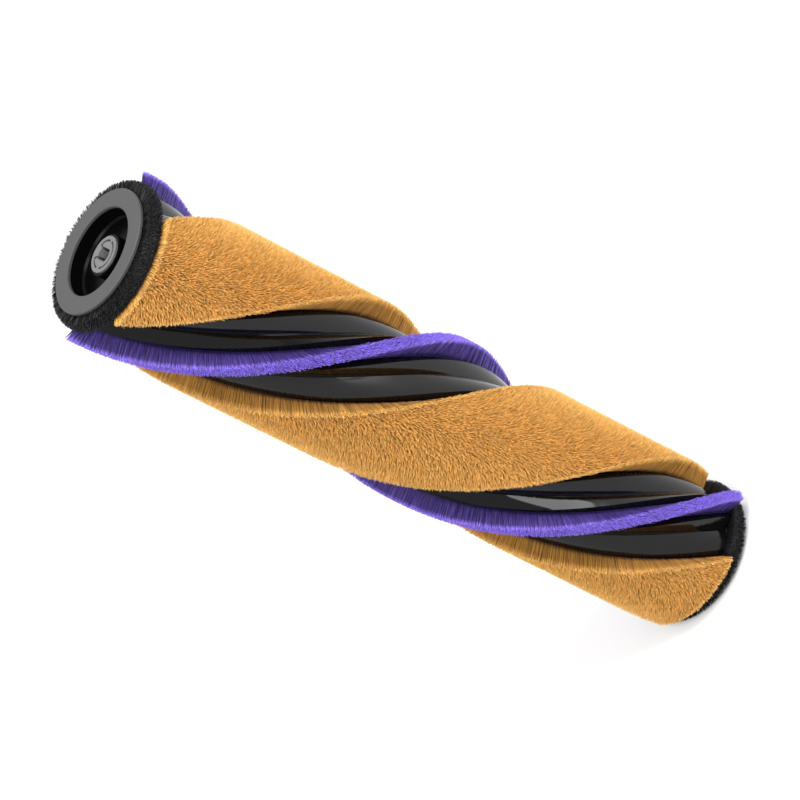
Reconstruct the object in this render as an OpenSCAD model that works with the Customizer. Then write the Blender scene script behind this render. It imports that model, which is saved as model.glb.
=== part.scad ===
// Roller brush for a vacuum cleaner head, standing on its free end.
// The axis is Z, the free end's rim lies on Z = 0 and the drive end points up.
// Every strip runs in a left-handed helix, and the section repeats after half a turn.

/* [Roller] */
// Length from rim face to rim face
roller_length = 225; // [150:1:320]
// Height in which the helix makes one full turn
helix_pitch = 236; // [160:1:400]
// Flat steps in one full turn of the helix
helix_steps = 44; // [24:2:48]
// Gap left between pieces that are bonded or pressed together
bond_gap = 0.05; // [0.03:0.01:0.1]

/* [Core] */
// Radius of the core under the pile tape
seat_r = 17.2; // [16.9:0.1:17.6]
// Radius where the core comes out beside the pile tape
shoulder_r = 17.7; // [17.5:0.1:18.2]
// Radius of the rib beside the pile
ridge_r = 18.7; // [18.3:0.1:19.4]
// Radius at the bottom of the groove between rib and strip
valley_r = 17.4; // [17:0.1:18]
// Radius of the sharp lip beside the bristle strip
lip_r = 20.1; // [19.5:0.1:20.8]
// Radius of the ledge between the lip and the strip slot
ledge_r = 19.2; // [18.8:0.1:19.4]
// Depth of the strip slot below the pile's seat
slot_depth = 0.3; // [0.1:0.1:0.5]
// Radius of the bore through the core
core_bore_r = 15; // [14:0.1:15.5]
// Half of the angle between the two lips of a strip
lip_half_angle = 12.6; // [10:0.1:15]
// Angle from the pile's edge to the rib
ridge_offset = 6.9; // [5:0.1:9]
// Share of the way from lip to rib at which the groove is deepest
valley_share = 0.36; // [0.25:0.01:0.5]
// How far the face between groove and rib bulges
rib_bulge = 0.15; // [0:0.05:0.4]

/* [Pile] */
// Half of the angle that a pile tape covers
tape_half_angle = 41.7; // [36:0.1:44]
// Thickness of the woven tape under the pile
tape_t = 0.6; // [0.4:0.1:0.8]
// Radius of the pile's outer surface
pile_r = 24.45; // [22:0.05:27]
// How much wider the pile's half angle is at its tips
pile_flare = 1; // [0:0.1:2]
// How far the pile's outer edges are rounded off
pile_edge = 0.6; // [0.2:0.1:1]

/* [Bristle strips] */
// Angle from the middle of the pile to the middle of the strip
strip_angle = 92.7; // [88:0.1:95]
// Half of the angle of the slot that holds the strip
slot_half_angle = 7.4; // [6:0.1:9]
// Gap at each side of the strip's carrier in its slot
carrier_gap = 0.2; // [0.18:0.01:0.3]
// Radius of the strip's bristle tips
strip_r = 25.3; // [23:0.05:28]
// Half of the bristle strip's width at its tips
strip_tip_half_w = 2; // [1:0.1:2.3]

/* [End rings] */
// Thickness of the rim ring's face outside the end cap
rim_t = 1; // [0.8:0.1:2]
// Outer radius of the rim ring
rim_r = 18.7; // [18.2:0.1:20]
// Inner radius of the rim ring
rim_bore_r = 13.2; // [12.8:0.1:13.9]
// Width of the black bristle ring
ring_w = 4.3; // [3:0.1:10]
// Length of the ring's bristles above their tape
ring_bristle_l = 4.4; // [2.5:0.1:6]
// How much shorter the tips are beside the rim
ring_taper = 1; // [0:0.1:1.5]

/* [End caps] */
// Depth of a cap's plug inside the core
plug_depth = 11; // [8:0.5:20]
// Radius of the recess in the cap
dish_r = 13; // [12.5:0.1:13.1]
// Depth of the recess, from the rim's face
dish_depth = 5.5; // [4:0.1:8]
// Thickness of the recess's floor
dish_floor_t = 2.4; // [1.6:0.1:3]
// Wall of the cap's plug
plug_wall = 1.8; // [1.5:0.1:2]

/* [Drive socket] */
// Outer radius of the socket
socket_r = 5.45; // [5:0.05:6.5]
// Depth of the socket's face behind the rim's face
socket_recess = 2.2; // [1:0.1:3.5]
// Length of the socket
socket_l = 6; // [5:0.1:8]
// Angle to which the socket is turned
socket_turn = 204.3; // [0:0.1:360]
// Radius of the pilot bore behind the socket
pilot_r = 1.7; // [1.2:0.1:1.8]
// Length of the pilot bore
pilot_l = 6; // [4:0.1:9]

/* [Bearing] */
// Outer radius of the bearing
bearing_r = 8; // [8:0.1:8.4]
// Width of the bearing
bearing_w = 5; // [4.4:0.1:6]
// Radius of the bearing's bore and of the axle pin
axle_r = 4; // [3.6:0.1:4]
// Radius of a ball
ball_r = 1.1; // [1:0.05:1.15]
// Number of balls
ball_count = 9; // [7:1:9]
// Running gap round the balls
ball_gap = 0.05; // [0.04:0.01:0.08]
// Radius of the bush on the axle's free end
bush_r = 6.5; // [5.5:0.1:7]
// How far the bush stays behind the rim's face
bush_recess = 1; // [0.6:0.1:2]

/* [Hidden] */
$fn = 96;

// Facets of the arcs in the swept sections
seat_steps = 8;
tip_steps = 10;
panel_steps = 3;

// Heights of the core, which lies between the two caps
cap_drum_h = ring_w + 0.1;
core_z0 = rim_t + cap_drum_h;
core_z1 = roller_length - core_z0;

// Radii of what lies on the core, from the tape outward
tape_r0 = seat_r + bond_gap;
tape_r1 = tape_r0 + tape_t;
pile_root_r = tape_r1 + bond_gap;
ring_r = pile_root_r + ring_bristle_l;
slot_r = seat_r - slot_depth;
carrier_r0 = slot_r + bond_gap;
carrier_half_angle = slot_half_angle - asin(carrier_gap / carrier_r0);
carrier_r1 = ledge_r + 0.1;
strip_root_r = carrier_r1 + bond_gap;

// Angles of the core's section, for the side before the strip and the side after it
ridge_a = tape_half_angle + ridge_offset;
ridge_b = 180 - ridge_a;
lip_a = strip_angle - lip_half_angle;
lip_b = strip_angle + lip_half_angle;
valley_a = lip_a + (ridge_a - lip_a) * valley_share;
valley_b = lip_b + (ridge_b - lip_b) * valley_share;

// Radii of the end caps
drum_r = seat_r;
plug_r = core_bore_r - bond_gap;
spigot_r0 = rim_bore_r + 1;
spigot_r1 = spigot_r0 + 1;
spigot_h = 1.2;
edge_cut = 0.25;
dish_fillet = 0.6;
boss_wall = 0.7;
boss_step = 0.6;

// Bearing and axle heights, from the free end's rim face
circlip_h = 0.8;
clip_depth = 0.5;
circlip_depth = 0.5;
circlip_z = dish_depth + 0.4;
bearing_z0 = circlip_z + circlip_h;
bearing_z1 = bearing_z0 + bearing_w;
bearing_mid = (bearing_z0 + bearing_z1) / 2;
pitch_r = (axle_r + bearing_r) / 2;
race_share = 0.9;
inner_ring_r = pitch_r - ball_r * race_share;
outer_ring_r = pitch_r + ball_r * race_share;
pin_r = axle_r - bond_gap;
shield_t = 0.3;
clip_h = 0.8;
collar_r = inner_ring_r - 0.2;
bush_z1 = dish_depth - 0.5;

// Turns a swept section to where the helix has it at a height
function helix_angle(z) = -360 * z / helix_pitch;

// Points of an arc
function arc(r, from, to, steps) =
    [for (i = [0:steps]) let (a = from + (to - from) * i / max(steps, 1)) [r * cos(a), r * sin(a)]];

// Points from one corner of the section towards the next, without the next
function panel(p, q, bulge, steps) =
    [for (i = [0:steps - 1])
        let (t = i / steps, a = p[0] + (q[0] - p[0]) * t,
             r = p[1] + (q[1] - p[1]) * t + bulge * 4 * t * (1 - t))
        [r * cos(a), r * sin(a)]];

function turned(points, angle) =
    [for (p = points) [p[0] * cos(angle) - p[1] * sin(angle), p[0] * sin(angle) + p[1] * cos(angle)]];

// Half of the core's section, from one pile seat to the next
function core_half() = concat(
    arc(seat_r, -tape_half_angle, tape_half_angle, seat_steps),
    panel([tape_half_angle, shoulder_r], [ridge_a, ridge_r], 0, 1),
    panel([ridge_a, ridge_r], [valley_a, valley_r], rib_bulge, panel_steps),
    panel([valley_a, valley_r], [lip_a, lip_r], 0, 2),
    panel([lip_a, lip_r], [strip_angle - slot_half_angle, ledge_r], 0, 1),
    [slot_corner(ledge_r, -1), slot_corner(slot_r, -1), slot_corner(slot_r, 1), slot_corner(ledge_r, 1)],
    panel([lip_b, lip_r], [valley_b, valley_r], 0, 2),
    panel([valley_b, valley_r], [ridge_b, ridge_r], rib_bulge, panel_steps),
    panel([ridge_b, ridge_r], [180 - tape_half_angle, shoulder_r], 0, 1),
    [[-shoulder_r * cos(tape_half_angle), shoulder_r * sin(tape_half_angle)]]);

function slot_corner(r, side) =
    let (a = strip_angle + side * slot_half_angle) [r * cos(a), r * sin(a)];

// Sweeps a flat section along the helix over the core's length
module along_helix() {
    height = core_z1 - core_z0;
    translate([0, 0, core_z0])
        rotate(helix_angle(core_z0))
            linear_extrude(height = height, twist = -helix_angle(height),
                           slices = ceil(height * helix_steps / helix_pitch), segments = 1)
                children();
}

// Section of a band between two radii, with its own half angle at each
module band(r0, half0, r1, half1, steps0, steps1)
    polygon(concat(arc(r1, -half1, half1, steps1), arc(r0, half0, -half0, steps0)));

// Turns a piece made for the free end over to the drive end
module at_drive_end() translate([0, 0, roller_length]) mirror([0, 0, 1]) children();

module core()
    color("#141416")
        difference() {
            along_helix() polygon(concat(core_half(), turned(core_half(), 180)));
            translate([0, 0, core_z0 - 1])
                cylinder(r = core_bore_r, h = core_z1 - core_z0 + 2);
        }

module pile_tape(turn)
    color("#5a4526")
        rotate(turn)
            along_helix()
                band(tape_r0, tape_half_angle - 0.2, tape_r1, tape_half_angle - 0.2, seat_steps, seat_steps);

module pile(turn) {
    root_half = tape_half_angle - 0.2;
    tip_half = tape_half_angle + pile_flare;
    edge_r = pile_r - pile_edge;
    round_half = tip_half - 2 * pile_edge;
    color("#dca046")
        rotate(turn)
            along_helix()
                polygon(concat(
                    arc(edge_r, -tip_half, -tip_half, 0),
                    arc(pile_r, -round_half, round_half, tip_steps),
                    arc(edge_r, tip_half, tip_half, 0),
                    arc(pile_root_r, root_half, -root_half, seat_steps)));
}

module strip_carrier(turn)
    color("#3a2a70")
        rotate(turn + strip_angle)
            along_helix()
                band(carrier_r0, carrier_half_angle, carrier_r1, carrier_half_angle, 1, 1);

module strip_bristles(turn)
    color("#6b4cd8")
        rotate(turn + strip_angle)
            along_helix()
                band(strip_root_r, carrier_half_angle, strip_r, asin(strip_tip_half_w / strip_r), 1, 2);

// Annular rim with chamfered edges and a spigot that locates it in the cap
module rim()
    color("#6e6e70")
        rotate_extrude()
            polygon([
                [rim_bore_r + edge_cut, 0], [rim_r - edge_cut, 0], [rim_r, edge_cut], [rim_r, rim_t],
                [spigot_r1, rim_t], [spigot_r1, rim_t + spigot_h], [spigot_r0, rim_t + spigot_h],
                [spigot_r0, rim_t], [rim_bore_r, rim_t], [rim_bore_r, edge_cut]]);

// Drum that carries the bristle ring, plug in the core's bore and recess for what mates
module cap_shell()
    rotate_extrude()
        polygon([
            [dish_r, rim_t], [spigot_r0 - bond_gap, rim_t],
            [spigot_r0 - bond_gap, rim_t + spigot_h + bond_gap],
            [spigot_r1 + bond_gap, rim_t + spigot_h + bond_gap],
            [spigot_r1 + bond_gap, rim_t], [drum_r, rim_t],
            [drum_r, core_z0 - bond_gap], [plug_r, core_z0 - bond_gap],
            [plug_r, core_z0 + plug_depth - edge_cut], [plug_r - edge_cut, core_z0 + plug_depth],
            [plug_r - plug_wall, core_z0 + plug_depth], [plug_r - plug_wall, dish_depth + dish_floor_t],
            [0, dish_depth + dish_floor_t], [0, dish_depth],
            [dish_r - dish_fillet, dish_depth], [dish_r, dish_depth - dish_fillet]]);

// Tape round the cap's drum, and the bristles on it
module end_tape()
    color("#1c1c1e")
        rotate_extrude()
            translate([drum_r + bond_gap, rim_t + bond_gap]) square([tape_t, ring_w]);

module end_bristles()
    color("#232326")
        rotate_extrude()
            polygon([
                [pile_root_r, rim_t + bond_gap], [ring_r - ring_taper, rim_t + bond_gap],
                [ring_r, rim_t + bond_gap + ring_w / 2], [ring_r, rim_t + bond_gap + ring_w],
                [pile_root_r, rim_t + bond_gap + ring_w]]);

// Cap with the boss that holds the drive socket and the pilot bore behind it
module drive_end_cap() {
    boss_r = socket_r + boss_wall;
    pocket_z = socket_recess + socket_l;
    pilot_z = pocket_z + pilot_l;
    color("#17171a")
        at_drive_end()
            difference() {
                union() {
                    cap_shell();
                    translate([0, 0, socket_recess + boss_step])
                        cylinder(r = boss_r, h = pilot_z - socket_recess - boss_step);
                }
                translate([0, 0, socket_recess])
                    cylinder(r = socket_r + bond_gap, h = socket_l + bond_gap);
                translate([0, 0, socket_recess])
                    cylinder(r = pilot_r, h = pilot_z);
            }
}

// Moulded socket: three lugs round the hole, and slots that let them give
module drive_socket() {
    slot_in = 0.70 * socket_r;
    slot_out = 0.81 * socket_r;
    flat_y = 0.345 * socket_r;
    hole_r = 0.49 * socket_r;
    arm_w = 0.13 * socket_r;
    slot_h = 3.5;
    color("#77777a")
        translate([0, 0, roller_length - socket_recess - socket_l])
            rotate(socket_turn)
                difference() {
                    cylinder(r = socket_r, h = socket_l);
                    translate([0, 0, -1]) linear_extrude(height = socket_l + 2)
                        intersection() {
                            circle(r = hole_r);
                            square([2 * socket_r, 2 * flat_y], center = true);
                        }
                    translate([0, 0, socket_l - slot_h]) linear_extrude(height = slot_h + 1) {
                        for (span = [[-78, 77], [90, 152], [204, 265]])
                            socket_slot(slot_in, slot_out, span[0], span[1]);
                        for (a = [147, 209])
                            rotate(a)
                                translate([flat_y, -arm_w / 2]) square([slot_out - flat_y, arm_w]);
                    }
                }
}

module socket_slot(r0, r1, from, to)
    polygon(concat(arc(r1, from, to, 12), arc(r0, to, from, 12)));

// Cap with the tube that holds the bearing
module free_end_cap() {
    tube_r = bearing_r + 1.6;
    stop_r = outer_ring_r + 0.2;
    stop_t = 1.2;
    color("#17171a")
        difference() {
            union() {
                cap_shell();
                translate([0, 0, dish_depth])
                    cylinder(r = tube_r, h = bearing_z1 + stop_t - dish_depth);
            }
            translate([0, 0, dish_depth - 1])
                cylinder(r = bearing_r + bond_gap, h = bearing_z1 - dish_depth + 1);
            translate([0, 0, dish_depth - 1])
                cylinder(r = stop_r, h = bearing_z1 + stop_t);
            translate([0, 0, circlip_z])
                cylinder(r = bearing_r + circlip_depth, h = circlip_h);
        }
}

// Bearing ring with a ball groove on the side that faces the balls
module bearing_ring(r0, r1)
    color("#b8babd")
        rotate_extrude()
            difference() {
                translate([r0, bearing_z0]) square([r1 - r0, bearing_w]);
                translate([pitch_r, bearing_mid]) circle(r = ball_r + ball_gap);
            }

module bearing_shield(z)
    color("#9a9ca0")
        translate([0, 0, z])
            difference() {
                cylinder(r = outer_ring_r - bond_gap, h = shield_t);
                translate([0, 0, -1]) cylinder(r = inner_ring_r + 0.3, h = shield_t + 2);
            }

module bearing_balls()
    color("#d0d2d4")
        for (i = [0:ball_count - 1])
            rotate(360 * i / ball_count)
                translate([pitch_r, 0, bearing_mid]) sphere(r = ball_r, $fn = 32);

module bearing_cage() {
    cage_half_w = 0.6;
    cage_h = 3.2;
    pocket_r = ball_r + 2 * ball_gap;
    color("#c9a35a")
        difference() {
            translate([0, 0, bearing_mid - cage_h / 2])
                difference() {
                    cylinder(r = pitch_r + cage_half_w, h = cage_h);
                    translate([0, 0, -1]) cylinder(r = pitch_r - cage_half_w, h = cage_h + 2);
                }
            for (i = [0:ball_count - 1])
                rotate(360 * i / ball_count)
                    translate([pitch_r, 0, bearing_mid]) sphere(r = pocket_r, $fn = 32);
        }
}

// Open ring in the groove in front of the bearing
module bearing_circlip()
    color("#55575a")
        translate([0, 0, circlip_z + 0.05])
            difference() {
                cylinder(r = bearing_r + circlip_depth - bond_gap, h = circlip_h - 0.1);
                translate([0, 0, -1]) cylinder(r = outer_ring_r + 0.1, h = circlip_h + 2);
                translate([0, -1.5, -1]) cube([bearing_r + 2, 3, circlip_h + 2]);
            }

// Turned pin with a collar in front of the bearing and a groove behind it
module axle_pin() {
    groove_z = bearing_z1 + 0.1;
    end_z = groove_z + clip_h + 1.4;
    nose = 0.4;
    color("#c3c6c9")
        rotate_extrude()
            polygon([
                [0, bush_recess + nose], [pin_r - nose, bush_recess + nose], [pin_r, bush_recess + 2 * nose],
                [pin_r, bush_z1], [collar_r, bush_z1], [collar_r, bearing_z0], [pin_r, bearing_z0],
                [pin_r, groove_z], [pin_r - clip_depth, groove_z], [pin_r - clip_depth, groove_z + clip_h],
                [pin_r, groove_z + clip_h], [pin_r, end_z - nose], [pin_r - nose, end_z], [0, end_z]]);
}

// Moulded bush that seats in the cleaner head
module axle_bush()
    color("#2a2a2d")
        difference() {
            translate([0, 0, bush_recess]) cylinder(r = bush_r, h = bush_z1 - bush_recess);
            translate([0, 0, bush_recess - 1]) cylinder(r = axle_r, h = bush_z1);
        }

module axle_clip() {
    groove_z = bearing_z1 + 0.1;
    mouth = 4.4;
    color("#55575a")
        translate([0, 0, groove_z + 0.05])
            difference() {
                cylinder(r = axle_r + 1.4, h = clip_h - 0.1);
                translate([0, 0, -1]) cylinder(r = pin_r - clip_depth + bond_gap, h = clip_h + 2);
                translate([0, -mouth / 2, -1]) cube([axle_r + 2, mouth, clip_h + 2]);
            }
}

core();
pile_tape(0);  // pile_tape_a
pile_tape(180);  // pile_tape_b
pile(0);  // pile_a
pile(180);  // pile_b
strip_carrier(0);  // strip_carrier_a
strip_carrier(180);  // strip_carrier_b
strip_bristles(0);  // strip_bristles_a
strip_bristles(180);  // strip_bristles_b
drive_end_cap();
at_drive_end() rim();  // drive_end_rim
at_drive_end() end_tape();  // drive_end_tape
at_drive_end() end_bristles();  // drive_end_bristles
drive_socket();
free_end_cap();
rim();  // free_end_rim
end_tape();  // free_end_tape
end_bristles();  // free_end_bristles
bearing_ring(outer_ring_r, bearing_r);  // bearing_outer_ring
bearing_shield(bearing_z0);  // bearing_shield_front
bearing_shield(bearing_z1 - shield_t);  // bearing_shield_rear
bearing_circlip();
bearing_ring(axle_r, inner_ring_r);  // bearing_inner_ring
bearing_cage();
bearing_balls();
axle_pin();
axle_bush();
axle_clip();
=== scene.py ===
"""Vacuum roller brush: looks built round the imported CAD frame.

Lengths are in millimetres until a mesh is made. Angles are in degrees round the
roller's axis, counted from the middle of the first pile at the free end.
"""
import math

import bpy
import numpy as np
from mathutils import Matrix, Vector


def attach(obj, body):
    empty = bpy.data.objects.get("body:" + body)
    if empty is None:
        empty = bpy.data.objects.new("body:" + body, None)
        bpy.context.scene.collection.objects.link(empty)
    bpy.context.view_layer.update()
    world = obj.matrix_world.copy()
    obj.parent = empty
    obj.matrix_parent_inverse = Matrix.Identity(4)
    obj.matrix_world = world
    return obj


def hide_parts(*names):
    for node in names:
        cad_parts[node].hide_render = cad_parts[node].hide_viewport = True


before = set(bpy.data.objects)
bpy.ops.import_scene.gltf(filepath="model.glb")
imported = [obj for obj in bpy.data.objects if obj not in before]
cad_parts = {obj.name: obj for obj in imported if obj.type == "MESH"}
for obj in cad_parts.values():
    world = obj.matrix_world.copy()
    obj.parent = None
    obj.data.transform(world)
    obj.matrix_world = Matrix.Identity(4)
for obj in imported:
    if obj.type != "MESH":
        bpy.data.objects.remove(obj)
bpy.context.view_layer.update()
rng = np.random.default_rng(7)

# Sizes shared with the CAD source
LENGTH = 225.0
PITCH = 236.0
Z0, Z1 = 5.4, LENGTH - 5.4
TAPE_HALF, PILE_ROOT, PILE_TIP, PILE_FLARE = 41.5, 17.9, 24.45, 1.2
STRIP_A, STRIP_ROOT, STRIP_TIP, STRIP_HALF = 92.7, 19.35, 25.3, 2.05
RING_ROOT, RING_TIP, RING_W = 17.9, 22.3, 4.3
SEAT, SHOULDER, RIDGE, VALLEY, LIP, LEDGE, SLOT, BORE = 17.2, 17.7, 18.7, 17.4, 20.1, 19.2, 16.9, 15.0
RIDGE_A, LIP_HALF, SLOT_HALF, VALLEY_SHARE = 48.6, 12.6, 7.4, 0.36


# ---------------------------------------------------------------- meshes
def new_object(name, verts, faces, smooth=False):
    """A mesh object from a list of corner points in mm and equal-sided faces."""
    faces = np.asarray(faces, dtype=np.int32)
    count, sides = faces.shape
    mesh = bpy.data.meshes.new(name)
    mesh.vertices.add(len(verts))
    mesh.vertices.foreach_set("co", (np.asarray(verts) / 1000.0).astype(np.float32).ravel())
    mesh.loops.add(count * sides)
    mesh.loops.foreach_set("vertex_index", faces.ravel())
    mesh.polygons.add(count)
    mesh.polygons.foreach_set("loop_start", np.arange(0, count * sides, sides, dtype=np.int32))
    mesh.polygons.foreach_set("use_smooth", np.full(count, smooth))
    mesh.update(calc_edges=True)
    mesh.validate()
    obj = bpy.data.objects.new(name, mesh)
    bpy.context.scene.collection.objects.link(obj)
    return obj


def join_parts(parts):
    """Stacks (verts, triangles) pairs into one pair."""
    verts, faces, base = [], [], 0
    for v, f in parts:
        verts.append(v)
        faces.append(f + base)
        base += len(v)
    return np.concatenate(verts), np.concatenate(faces)


def axes_at(angle, z):
    """Radial and tangential directions where the helix has turned a section angle at z."""
    phi = np.radians(angle - 360.0 * z / PITCH)
    zero = np.zeros_like(phi)
    return (np.stack([np.cos(phi), np.sin(phi), zero], -1),
            np.stack([-np.sin(phi), np.cos(phi), zero], -1))


def fibres(angle, z, r0, r1, w0, w1, side, along, twist=True):
    """Three-sided closed fibres from radius r0 to r1. side and along move the tips."""
    n = len(angle)
    er, et = axes_at(angle, z if twist else np.zeros(n))
    ez = np.broadcast_to([0.0, 0.0, 1.0], (n, 3))
    root = er * r0[:, None] + ez * z[:, None]
    tip = er * r1[:, None] + et * side[:, None] + ez * (z + along)[:, None]
    turn = rng.uniform(0, 2 * np.pi, n)
    corners = []
    for k in range(3):
        a = turn + 2 * np.pi * k / 3
        corners.append(et * np.cos(a)[:, None] + ez * np.sin(a)[:, None])
    base = np.arange(n)[:, None]
    if w1 is None:
        verts = np.stack([root + c * w0[:, None] for c in corners] + [tip], 1)
        pattern = np.array([[0, 2, 1], [0, 1, 3], [1, 2, 3], [2, 0, 3]])
        faces = (base[:, :, None] * 4 + pattern[None]).reshape(-1, 3)
    else:
        verts = np.stack([root + c * w0[:, None] for c in corners]
                         + [tip + c * w1[:, None] for c in corners], 1)
        pattern = np.array([[0, 2, 1], [3, 4, 5], [0, 1, 4], [0, 4, 3], [1, 2, 5], [1, 5, 4], [2, 0, 3], [2, 3, 5]])
        faces = (base[:, :, None] * 6 + pattern[None]).reshape(-1, 3)
    return verts.reshape(-1, 3), faces


def swept(points, rows):
    """Closed triangle mesh of a flat section (angle, radius) swept along the helix."""
    a, r = points[:, 0], points[:, 1]
    n = len(points)
    zs = np.linspace(rows[0], rows[1], rows[2])
    phi = np.radians(a[None] - 360.0 * zs[:, None] / PITCH)
    verts = np.stack([r[None] * np.cos(phi), r[None] * np.sin(phi),
                      np.broadcast_to(zs[:, None], phi.shape)], -1).reshape(-1, 3)
    i, j = np.meshgrid(np.arange(rows[2] - 1), np.arange(n), indexing="ij")
    p = i * n + j
    q = i * n + (j + 1) % n
    sides = np.concatenate([np.stack([p, q, q + n], -1).reshape(-1, 3),
                            np.stack([p, q + n, p + n], -1).reshape(-1, 3)])
    return verts, sides, n


def band_body(half0, r0, half1, r1, steps, rows):
    """A swept band between two radii, with its ends closed by matching strips."""
    t = np.linspace(-1, 1, steps)
    outer = np.stack([t * half1, np.full(steps, r1)], -1)
    inner = np.stack([t[::-1] * half0, np.full(steps, r0)], -1)
    verts, sides, n = swept(np.concatenate([inner, outer]), rows)
    last = (rows[2] - 1) * n
    k = np.arange(steps - 1)
    a, b, c, d = k, k + 1, n - 2 - k, n - 1 - k
    low = np.concatenate([np.stack([a, d, c], -1), np.stack([a, c, b], -1)])
    high = np.concatenate([np.stack([a, b, c], -1), np.stack([a, c, d], -1)]) + last
    return verts, np.concatenate([sides, low, high])


# ---------------------------------------------------------------- materials
class Nodes:
    """Small helper that adds nodes to a material."""

    def __init__(self, name):
        self.material = bpy.data.materials.new(name)
        self.material.use_nodes = True
        self.tree = self.material.node_tree
        self.shader = self.tree.nodes["Principled BSDF"]

    def add(self, kind, inputs=None, **settings):
        node = self.tree.nodes.new(kind)
        for key, value in settings.items():
            setattr(node, key, value)
        for key, value in (inputs or {}).items():
            if hasattr(value, "is_output"):
                self.tree.links.new(value, node.inputs[key])
            else:
                node.inputs[key].default_value = value
        return node

    def math(self, operation, a, b=0.0):
        return self.add("ShaderNodeMath", {0: a, 1: b}, operation=operation).outputs[0]

    def ramp(self, value, stops):
        node = self.add("ShaderNodeValToRGB", {0: value})
        elements = node.color_ramp.elements
        while len(elements) < len(stops):
            elements.new(0.5)
        for element, (place, colour) in zip(elements, stops):
            element.position = place
            element.color = (*colour, 1.0) if len(colour) == 3 else colour
        return node.outputs["Color"]

    def noise(self, vector, scale, detail=2.0):
        return self.add("ShaderNodeTexNoise", {"Vector": vector, "Scale": scale, "Detail": detail}).outputs["Fac"]

    def bump(self, height, distance, strength=1.0):
        node = self.add("ShaderNodeBump", {"Height": height, "Distance": distance, "Strength": strength})
        self.tree.links.new(node.outputs["Normal"], self.shader.inputs["Normal"])

    def link(self, value, socket):
        self.tree.links.new(value, self.shader.inputs[socket])

    def place(self):
        return self.add("ShaderNodeTexCoord").outputs["Object"]

    def radial(self):
        """Radius in metres, and a coordinate that is the same all along one fibre."""
        xyz = self.add("ShaderNodeSeparateXYZ", {0: self.place()})
        x, y, z = xyz.outputs
        r = self.math("SQRT", self.math("ADD", self.math("MULTIPLY", x, x), self.math("MULTIPLY", y, y)))
        k = self.math("DIVIDE", 0.024, r)
        flat = self.add("ShaderNodeCombineXYZ", {0: self.math("MULTIPLY", x, k), 1: self.math("MULTIPLY", y, k), 2: z})
        return r, flat.outputs[0]


def fibre_material(name, r_root, r_tip, stops, cell, spread, rough, sheen=0.0):
    """Fibres that go from a dark root to a light tip, each a little different. The darkening towards the root is
    painted shade deep among the fibres, and the lighter tip is painted light on the exposed ends.
    """
    m = Nodes(name)
    r, flat = m.radial()
    # t runs from root (0) to tip (1); the ramp on it paints shade at the root and light at the tip
    t = m.add("ShaderNodeMapRange", {"Value": r, "From Min": r_root / 1000, "From Max": r_tip / 1000}).outputs[0]
    cells = m.add("ShaderNodeTexVoronoi", {"Vector": flat, "Scale": cell}).outputs["Color"]
    one = m.add("ShaderNodeSeparateColor", {0: cells}).outputs[0]
    soft = m.noise(flat, cell * 0.12, 3.0)
    gain = m.math("ADD", m.math("MULTIPLY", m.math("SUBTRACT", one, 0.5), spread),
                  m.math("ADD", m.math("MULTIPLY", m.math("SUBTRACT", soft, 0.5), spread * 0.6), 1.0))
    colour = m.add("ShaderNodeVectorMath", {0: m.ramp(t, stops), "Scale": gain}, operation="SCALE").outputs[0]
    m.link(colour, "Base Color")
    m.shader.inputs["Roughness"].default_value = rough
    m.shader.inputs["Specular IOR Level"].default_value = 0.25
    if sheen:
        m.shader.inputs["Sheen Weight"].default_value = sheen
        m.shader.inputs["Sheen Roughness"].default_value = 0.5
    return m.material


def moulded(name, colour, rough, level, grain=0.0, shade=0.08):
    """Moulded plastic or metal with slight unevenness in colour, gloss and surface."""
    m = Nodes(name)
    p = m.place()
    soft = m.noise(p, 90.0, 3.0)
    fine = m.noise(p, 2400.0, 2.0)
    k = m.math("ADD", m.math("MULTIPLY", m.math("SUBTRACT", soft, 0.5), shade), 1.0)
    tint = m.add("ShaderNodeVectorMath", {0: (*colour,), "Scale": k}, operation="SCALE").outputs[0]
    m.link(tint, "Base Color")
    m.link(m.math("ADD", m.math("MULTIPLY", m.math("SUBTRACT", soft, 0.5), rough * 0.3), rough), "Roughness")
    m.shader.inputs["Specular IOR Level"].default_value = level
    if grain:
        m.bump(fine, grain / 1000.0)
    return m


# Each fibre colour is its own colour, with painted shade darkening it towards the root and painted light lightening it
# at the tip; the per-fibre gain is random tone
GOLD = fibre_material("gold_pile", 17.9, 24.6,
                      [(0.0, (0.05, 0.018, 0.004)), (0.2, (0.40, 0.19, 0.034)),
                       (0.64, (0.48, 0.235, 0.042)), (0.84, (0.74, 0.42, 0.10)), (1.0, (0.93, 0.64, 0.24))],
                      2600.0, 0.5, 0.6, 0.1)
VIOLET = fibre_material("violet_bristles", 19.3, 25.4,
                        [(0.0, (0.01, 0.006, 0.035)), (0.2, (0.055, 0.034, 0.18)),
                         (0.75, (0.095, 0.06, 0.30)), (1.0, (0.40, 0.27, 1.0))],
                        3400.0, 0.6, 0.42)
INK = fibre_material("black_bristles", 17.9, 22.4,
                     [(0.0, (0.002, 0.002, 0.002)), (0.6, (0.010, 0.010, 0.011)), (1.0, (0.035, 0.035, 0.038))],
                     3000.0, 1.2, 0.38)
CORE = moulded("core_black", (0.002, 0.002, 0.0022), 0.06, 0.22, 0.0)
CAP = moulded("cap_black", (0.002, 0.002, 0.0022), 0.25, 0.06, 0.0006)
RIM = moulded("rim_grey", (0.072, 0.072, 0.073), 0.5, 0.25, 0.0008, 0.03)
SOCKET = moulded("socket_grey", (0.16, 0.16, 0.162), 0.42, 0.3, 0.0008, 0.05)
TAPE = moulded("tape_black", (0.012, 0.012, 0.012), 0.8, 0.2, 0.01)
TAPE_BROWN = moulded("tape_brown", (0.06, 0.028, 0.008), 0.85, 0.2, 0.01, 0.3)
CARRIER = moulded("carrier_violet", (0.02, 0.010, 0.08), 0.5, 0.3, 0.002)
BUSH = moulded("bush_black", (0.012, 0.012, 0.013), 0.4, 0.35, 0.002)


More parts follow.
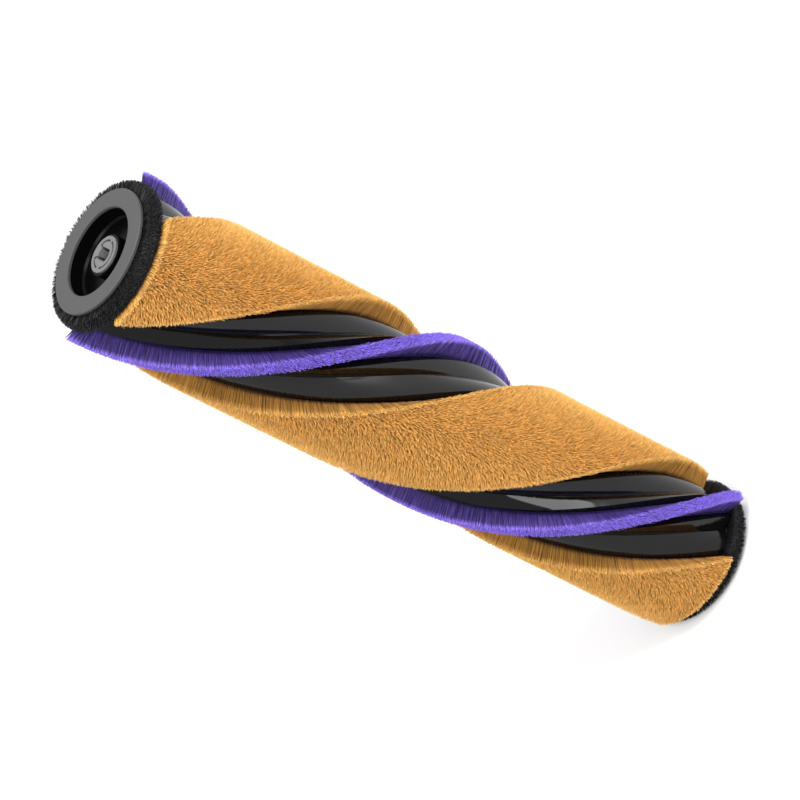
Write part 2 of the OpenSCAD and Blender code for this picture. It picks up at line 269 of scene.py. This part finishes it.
def metal(name, colour, rough):
    """Turned or ground metal with fine rings of tool marks."""
    m = Nodes(name)
    r, _ = m.radial()
    marks = m.noise(m.add("ShaderNodeCombineXYZ", {0: r}).outputs[0], 9000.0, 1.0)
    m.shader.inputs["Metallic"].default_value = 1.0
    k = m.math("ADD", m.math("MULTIPLY", marks, 0.16), 0.92)
    m.link(m.add("ShaderNodeVectorMath", {0: (*colour,), "Scale": k}, operation="SCALE").outputs[0], "Base Color")
    m.link(m.math("ADD", m.math("MULTIPLY", marks, 0.1), rough), "Roughness")
    m.bump(marks, 0.000004)
    return m


STEEL = metal("bearing_steel", (0.62, 0.63, 0.65), 0.22)
SHIELD = metal("shield_steel", (0.45, 0.46, 0.48), 0.3)
SPRING = metal("spring_steel", (0.10, 0.105, 0.11), 0.35)
BRASS = metal("cage_brass", (0.60, 0.42, 0.16), 0.3)
AXLE = metal("axle_steel", (0.66, 0.67, 0.69), 0.2)

ON_CAD = {
    "drive_end_cap": CAP, "free_end_cap": CAP, "drive_end_rim": RIM, "free_end_rim": RIM,
    "drive_socket": SOCKET, "drive_end_tape": TAPE, "free_end_tape": TAPE,
    "pile_tape_a": TAPE_BROWN, "pile_tape_b": TAPE_BROWN,
    "strip_carrier_a": CARRIER, "strip_carrier_b": CARRIER,
    "bearing_outer_ring": STEEL, "bearing_inner_ring": STEEL, "bearing_balls": STEEL,
    "bearing_shield_front": SHIELD, "bearing_shield_rear": SHIELD, "bearing_circlip": SPRING,
    "bearing_cage": BRASS, "axle_pin": AXLE, "axle_bush": BUSH, "axle_clip": SPRING}
for node, look in ON_CAD.items():
    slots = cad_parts[node].material_slots
    for slot in slots:
        slot.material = look.material


def dress(obj, material, node, body="roller"):
    obj.data.materials.append(material)
    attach(obj, body)
    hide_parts(node)
    return obj


# ---------------------------------------------------------------- core
def straight(p, q, bulge, steps):
    """Points (angle, radius) from p up to, but not including, q."""
    t = np.arange(steps) / steps
    return np.stack([p[0] + (q[0] - p[0]) * t,
                     p[1] + (q[1] - p[1]) * t + bulge * 4 * t * (1 - t)], -1)


def core_section():
    lip_a, lip_b = STRIP_A - LIP_HALF, STRIP_A + LIP_HALF
    ridge_b = 180 - RIDGE_A
    valley_a = lip_a + (RIDGE_A - lip_a) * VALLEY_SHARE
    valley_b = lip_b + (ridge_b - lip_b) * VALLEY_SHARE
    half = [
        straight((-41.7, SEAT), (41.7, SEAT), 0, 24),
        straight((41.7, SEAT), (41.72, SHOULDER), 0, 1),
        straight((41.72, SHOULDER), (RIDGE_A, RIDGE), 0, 3),
        straight((RIDGE_A, RIDGE), (valley_a, VALLEY), 0.22, 10),
        straight((valley_a, VALLEY), (lip_a, LIP), 0.12, 8),
        straight((lip_a, LIP), (STRIP_A - SLOT_HALF, LEDGE), 0, 3),
        straight((STRIP_A - SLOT_HALF, LEDGE), (STRIP_A - SLOT_HALF + 0.02, SLOT), 0, 1),
        straight((STRIP_A - SLOT_HALF + 0.02, SLOT), (STRIP_A + SLOT_HALF - 0.02, SLOT), 0, 4),
        straight((STRIP_A + SLOT_HALF - 0.02, SLOT), (STRIP_A + SLOT_HALF, LEDGE), 0, 1),
        straight((STRIP_A + SLOT_HALF, LEDGE), (lip_b, LIP), 0, 3),
        straight((lip_b, LIP), (valley_b, VALLEY), 0.12, 8),
        straight((valley_b, VALLEY), (ridge_b, RIDGE), 0.22, 10),
        straight((ridge_b, RIDGE), (138.28, SHOULDER), 0, 3),
        straight((138.28, SHOULDER), (138.3, SEAT), 0, 1)]
    half = np.concatenate(half)
    return np.concatenate([half, half + [180, 0]])


def make_core():
    section = core_section()
    rows = 241
    verts, sides, n = swept(section, (Z0, Z1, rows))
    inner_rows = 25
    bore = np.stack([section[:, 0], np.full(n, BORE)], -1)
    inner, inner_sides, _ = swept(bore, (Z0, Z1, inner_rows))
    k = np.arange(n)
    nxt = (k + 1) % n
    base = len(verts)
    low = np.concatenate([np.stack([nxt, k, base + k], -1), np.stack([nxt, base + k, base + nxt], -1)])
    top, top_in = (rows - 1) * n, base + (inner_rows - 1) * n
    high = np.concatenate([np.stack([top + k, top + nxt, top_in + nxt], -1),
                           np.stack([top + k, top_in + nxt, top_in + k], -1)])
    faces = np.concatenate([sides, inner_sides[:, ::-1] + base, low, high])
    obj = new_object("core_shell", np.concatenate([verts, inner]), faces, smooth=True)
    mark_creases(obj, 14.0)
    return obj


def mark_creases(obj, limit):
    """Shades smooth, apart from edges where the surface turns by more than limit."""
    mesh = obj.data
    mesh.set_sharp_from_angle(angle=math.radians(limit))


dress(make_core(), CORE.material, "core")


# ---------------------------------------------------------------- pile
def clumped(u, v, size, pull):
    """How far a tip moves towards the middle of its tuft, for tufts of about that size."""
    cu, cv = np.floor(u / size), np.floor(v / size)
    mix = np.sin(cu * 12.9898 + cv * 78.233) * 43758.5453
    mix2 = np.sin(cu * 39.346 + cv * 11.135) * 24634.6345
    mu = (cu + 0.25 + 0.5 * (mix - np.floor(mix))) * size
    mv = (cv + 0.25 + 0.5 * (mix2 - np.floor(mix2))) * size
    return (mu - u) * pull, (mv - v) * pull


def scatter(count, low, high):
    """Evenly spread pairs, from a shuffled lattice with jitter."""
    aspect = (high[0] - low[0]) / (high[1] - low[1])
    nu = max(1, int(round(math.sqrt(count * aspect))))
    nv = max(1, int(round(count / nu)))
    gu, gv = np.meshgrid(np.arange(nu), np.arange(nv), indexing="ij")
    u = (gu.ravel() + 0.5 * (gv.ravel() % 2) + rng.uniform(0, 0.9, gu.size)) / (nu + 0.5)
    v = (gv.ravel() + rng.uniform(0, 1.0, gv.size)) / nv
    return low[0] + u * (high[0] - low[0]), low[1] + v * (high[1] - low[1])


def make_pile(tag, turn):
    body_half = TAPE_HALF - 1.2
    body = band_body(body_half, PILE_ROOT, body_half + 0.6, 22.5, 26, (Z0 + 0.35, Z1 - 0.35, 121))
    body = (body[0], body[1])
    parts = [body]
    # walls along both sides, and across both ends
    for side in (-1, 1):
        for layer in range(3):
            n = 1250
            z = Z0 + 0.1 + (Z1 - Z0 - 0.2) * (np.arange(n) + rng.uniform(0, 1, n)) / n
            half = TAPE_HALF - 0.15 - 0.75 * layer
            angle = np.full(n, side * half) + rng.normal(0, 0.25, n)
            cu, cv = clumped(z, np.zeros(n), 0.9, 0.35)
            r1 = PILE_TIP - rng.uniform(0.0, 0.9, n) - 0.25 * (2 - layer)
            out = side * (PILE_TIP * math.radians(PILE_FLARE) * rng.uniform(0.4, 1.25, n))
            parts.append(fibres(angle, z, np.full(n, PILE_ROOT), r1, np.full(n, 0.20), np.full(n, 0.085),
                                out, cu + rng.normal(0, 0.18, n)))
    for end, place in ((-1, Z0), (1, Z1)):
        for layer in range(3):
            n = 170
            angle = np.linspace(-TAPE_HALF, TAPE_HALF, n) + rng.normal(0, 0.2, n)
            z = np.full(n, place - end * (0.12 + 0.3 * layer))
            r1 = PILE_TIP - rng.uniform(0.0, 0.8, n)
            parts.append(fibres(angle, z, np.full(n, PILE_ROOT), r1, np.full(n, 0.20), np.full(n, 0.085),
                                rng.normal(0, 0.25, n), end * rng.uniform(-0.2, 0.35, n)))
    verts, faces = join_parts(parts)
    obj = new_object(f"pile_{tag}_body", verts, faces)
    # the plush surface
    count = 43500
    a, z = scatter(count, (-TAPE_HALF - 0.2, Z0 + 0.1), (TAPE_HALF + 0.2, Z1 - 0.1))
    arc = np.radians(a) * PILE_TIP
    cu, cv = clumped(arc, z, 0.75, 0.4)
    n = len(a)
    r1 = PILE_TIP + 0.15 - rng.gamma(2.0, 0.16, n)
    fan = np.radians(a / TAPE_HALF * PILE_FLARE) * PILE_TIP
    v2, f2 = fibres(a, z, np.full(n, 22.3), r1, rng.uniform(0.26, 0.36, n), None,
                    cu + fan + rng.normal(0, 0.14, n), cv + rng.normal(0, 0.14, n))
    tips = new_object(f"pile_{tag}_tips", v2, f2)
    for piece in (obj, tips):
        if turn:
            piece.data.transform(Matrix.Rotation(math.radians(turn), 4, "Z"))
        dress(piece, GOLD, f"pile_{tag}")


make_pile("a", 0)
make_pile("b", 180)


# ---------------------------------------------------------------- violet strips
def make_strip(tag, turn):
    half0 = math.degrees(2.0 / STRIP_ROOT)
    parts = [band_body(half0, STRIP_ROOT, math.degrees(1.35 / 23.6), 23.6, 8, (Z0 + 0.5, Z1 - 0.5, 121))]
    count = 14500
    w, z = scatter(count, (-1.0, Z0 + 0.05), (1.0, Z1 - 0.05))
    n = len(w)
    root = np.degrees(w * 2.15 / STRIP_ROOT)
    cu, cv = clumped(z, w * 2.0, 0.8, 0.3)
    r1 = STRIP_TIP + 0.1 - rng.gamma(2.0, 0.14, n)
    # a tip lies where its root angle points, so the strip narrows when that is undone
    side = w * (STRIP_HALF - 2.15 * STRIP_TIP / STRIP_ROOT) + cv * 0.5 + rng.normal(0, 0.17, n)
    near_low = np.clip(1 - (z - Z0) / 3.0, 0, 1)
    near_high = np.clip(1 - (Z1 - z) / 3.5, 0, 1)
    along = cu + rng.normal(0, 0.16, n) - near_low * 0.8 + near_high * 2.2
    parts.append(fibres(root, z, np.full(n, STRIP_ROOT), r1, np.full(n, 0.17), np.full(n, 0.075), side, along))
    verts, faces = join_parts(parts)
    obj = new_object(f"strip_{tag}_brush", verts, faces)
    obj.data.transform(Matrix.Rotation(math.radians(turn + STRIP_A), 4, "Z"))
    dress(obj, VIOLET, f"strip_bristles_{tag}")


make_strip("a", 0)
make_strip("b", 180)


# ---------------------------------------------------------------- black end rings
def make_ring(name, node, rim_side, inner_side):
    """Short bristles round a cap's drum, from the rim's side to the pile's side."""
    step = 1 if inner_side > rim_side else -1
    steps = 96
    a = np.radians(np.linspace(0, 360, steps, endpoint=False))
    profile = [(RING_ROOT, rim_side + step * 0.15), (20.6, rim_side + step * 0.5),
               (21.2, inner_side - step * 0.1), (RING_ROOT, inner_side - step * 0.1)]
    verts = np.concatenate([np.stack([r * np.cos(a), r * np.sin(a), np.full(steps, z)], -1) for r, z in profile])
    faces = []
    k = np.arange(steps)
    for i in range(4):
        p, q = i * steps, ((i + 1) % 4) * steps
        quad = np.concatenate([np.stack([p + k, p + (k + 1) % steps, q + (k + 1) % steps], -1),
                               np.stack([p + k, q + (k + 1) % steps, q + k], -1)])
        faces.append(quad if step < 0 else quad[:, ::-1])
    parts = [(verts, np.concatenate(faces))]
    count = 6800
    angle, t = scatter(count, (0.0, 0.0), (360.0, 1.0))
    n = len(angle)
    z = rim_side + (inner_side - rim_side) * (0.03 + 0.94 * t)
    r1 = RING_TIP - 1.0 * np.clip(1 - t * 2.2, 0, 1) + 0.1 - rng.gamma(2.0, 0.16, n)
    cu, cv = clumped(np.radians(angle) * 22, z, 0.9, 0.4)
    lean = -step * 0.5 * np.clip(1 - t * 1.5, 0, 1)
    parts.append(fibres(angle, z, np.full(n, RING_ROOT), r1, np.full(n, 0.17), np.full(n, 0.07),
                        cu + rng.normal(0, 0.22, n), cv * 0.4 + lean + rng.normal(0, 0.14, n), twist=False))
    verts, faces = join_parts(parts)
    dress(new_object(name, verts, faces), INK, node)


make_ring("drive_end_brush", "drive_end_bristles", LENGTH - 1.05, LENGTH - 5.35)
make_ring("free_end_brush", "free_end_bristles", 1.05, 5.35)


# ---------------------------------------------------------------- stage, camera and light
def make_floor():
    m = Nodes("floor_white")
    path = m.add("ShaderNodeLightPath")
    soft = m.noise(m.place(), 3.0, 2.0)
    pale = m.math("ADD", m.math("MULTIPLY", soft, 0.01), 0.80)
    seen = m.math("MAXIMUM", path.outputs["Is Camera Ray"], path.outputs["Is Glossy Ray"])
    value = m.math("ADD", m.math("MULTIPLY", seen, 0.19), pale)
    m.link(m.add("ShaderNodeCombineColor", {0: value, 1: value, 2: value}).outputs[0], "Base Color")
    m.shader.inputs["Roughness"].default_value = 0.9
    m.shader.inputs["Specular IOR Level"].default_value = 0.0
    s = 6.0
    mesh = bpy.data.meshes.new("floor")
    mesh.from_pydata([(-s, -s, 0), (s, -s, 0), (s, s, 0), (-s, s, 0)], [], [(0, 1, 2, 3)])
    floor = bpy.data.objects.new("floor", mesh)
    floor.location = (0, 0, -0.0002)
    bpy.context.scene.collection.objects.link(floor)
    mesh.materials.append(m.material)


def make_world():
    world = bpy.data.worlds.new("studio")
    bpy.context.scene.world = world
    world.use_nodes = True
    nodes, links = world.node_tree.nodes, world.node_tree.links
    back = nodes["Background"]
    path = nodes.new("ShaderNodeLightPath")
    add = nodes.new("ShaderNodeMath")
    add.operation = "MAXIMUM"
    add2 = nodes.new("ShaderNodeMath")
    add2.operation = "MAXIMUM"
    mix = nodes.new("ShaderNodeMix")
    mix.data_type = "RGBA"
    links.new(path.outputs["Is Camera Ray"], add.inputs[0])
    links.new(path.outputs["Is Glossy Ray"], add.inputs[1])
    links.new(add.outputs[0], add2.inputs[0])
    links.new(path.outputs["Is Transmission Ray"], add2.inputs[1])
    links.new(add2.outputs[0], mix.inputs[0])
    mix.inputs["A"].default_value = (0.62, 0.62, 0.625, 1)
    mix.inputs["B"].default_value = (1, 1, 1, 1)
    links.new(mix.outputs["Result"], back.inputs["Color"])
    back.inputs["Strength"].default_value = 1.0


RIGHT = Vector((-0.24527, -0.60738, -0.75560))
UP = Vector((0.58556, -0.71399, 0.38386))
FORWARD = Vector((0.77264, 0.34830, -0.53077))


def make_camera():
    data = bpy.data.cameras.new("camera")
    data.lens = 209.414
    data.sensor_width = 36.0
    data.clip_start, data.clip_end = 0.05, 50.0
    camera = bpy.data.objects.new("camera", data)
    bpy.context.scene.collection.objects.link(camera)
    turn = Matrix((RIGHT, UP, -FORWARD)).transposed().to_4x4()
    camera.matrix_world = Matrix.Translation((-1.01619, -0.45935, 0.81570)) @ turn
    bpy.context.scene.camera = camera


def softbox(name, right, up, back, size, watts, aim=(0, 0, 0.11)):
    """A rectangular lamp, placed by how far right, up and back towards the camera it is."""
    data = bpy.data.lights.new(name, "AREA")
    data.shape = "RECTANGLE"
    data.size, data.size_y = size
    data.energy = watts
    lamp = bpy.data.objects.new(name, data)
    place = Vector(aim) + RIGHT * right + UP * up - FORWARD * back
    z = (place - Vector(aim)).normalized()
    x = RIGHT - z * RIGHT.dot(z)
    x.normalize()
    y = z.cross(x)
    lamp.matrix_world = Matrix.Translation(place) @ Matrix((x, y, z)).transposed().to_4x4()
    bpy.context.scene.collection.objects.link(lamp)


def floor_softbox(name, place, size, watts):
    """A low upright lamp that stands on the floor, faces the roller and shows in its core."""
    data = bpy.data.lights.new(name, "AREA")
    data.shape = "RECTANGLE"
    data.size, data.size_y = size
    data.energy = watts
    lamp = bpy.data.objects.new(name, data)
    z = Vector((place[0], place[1], 0)).normalized()
    x = Vector((0, 0, 1)).cross(z)
    lamp.matrix_world = Matrix.Translation(place) @ Matrix((x, z.cross(x), z)).transposed().to_4x4()
    lamp.visible_camera = False
    bpy.context.scene.collection.objects.link(lamp)


make_floor()
make_world()
make_camera()
softbox("key", -0.2, 0.85, 1.0, (1.0, 0.5), 14)
softbox("front", -0.75, -0.25, 1.0, (0.6, 0.8), 11)
floor_softbox("side", (-0.16, -0.48, 0.065), (0.42, 0.11), 1.3)
bpy.context.scene.view_settings.view_transform = "Standard"
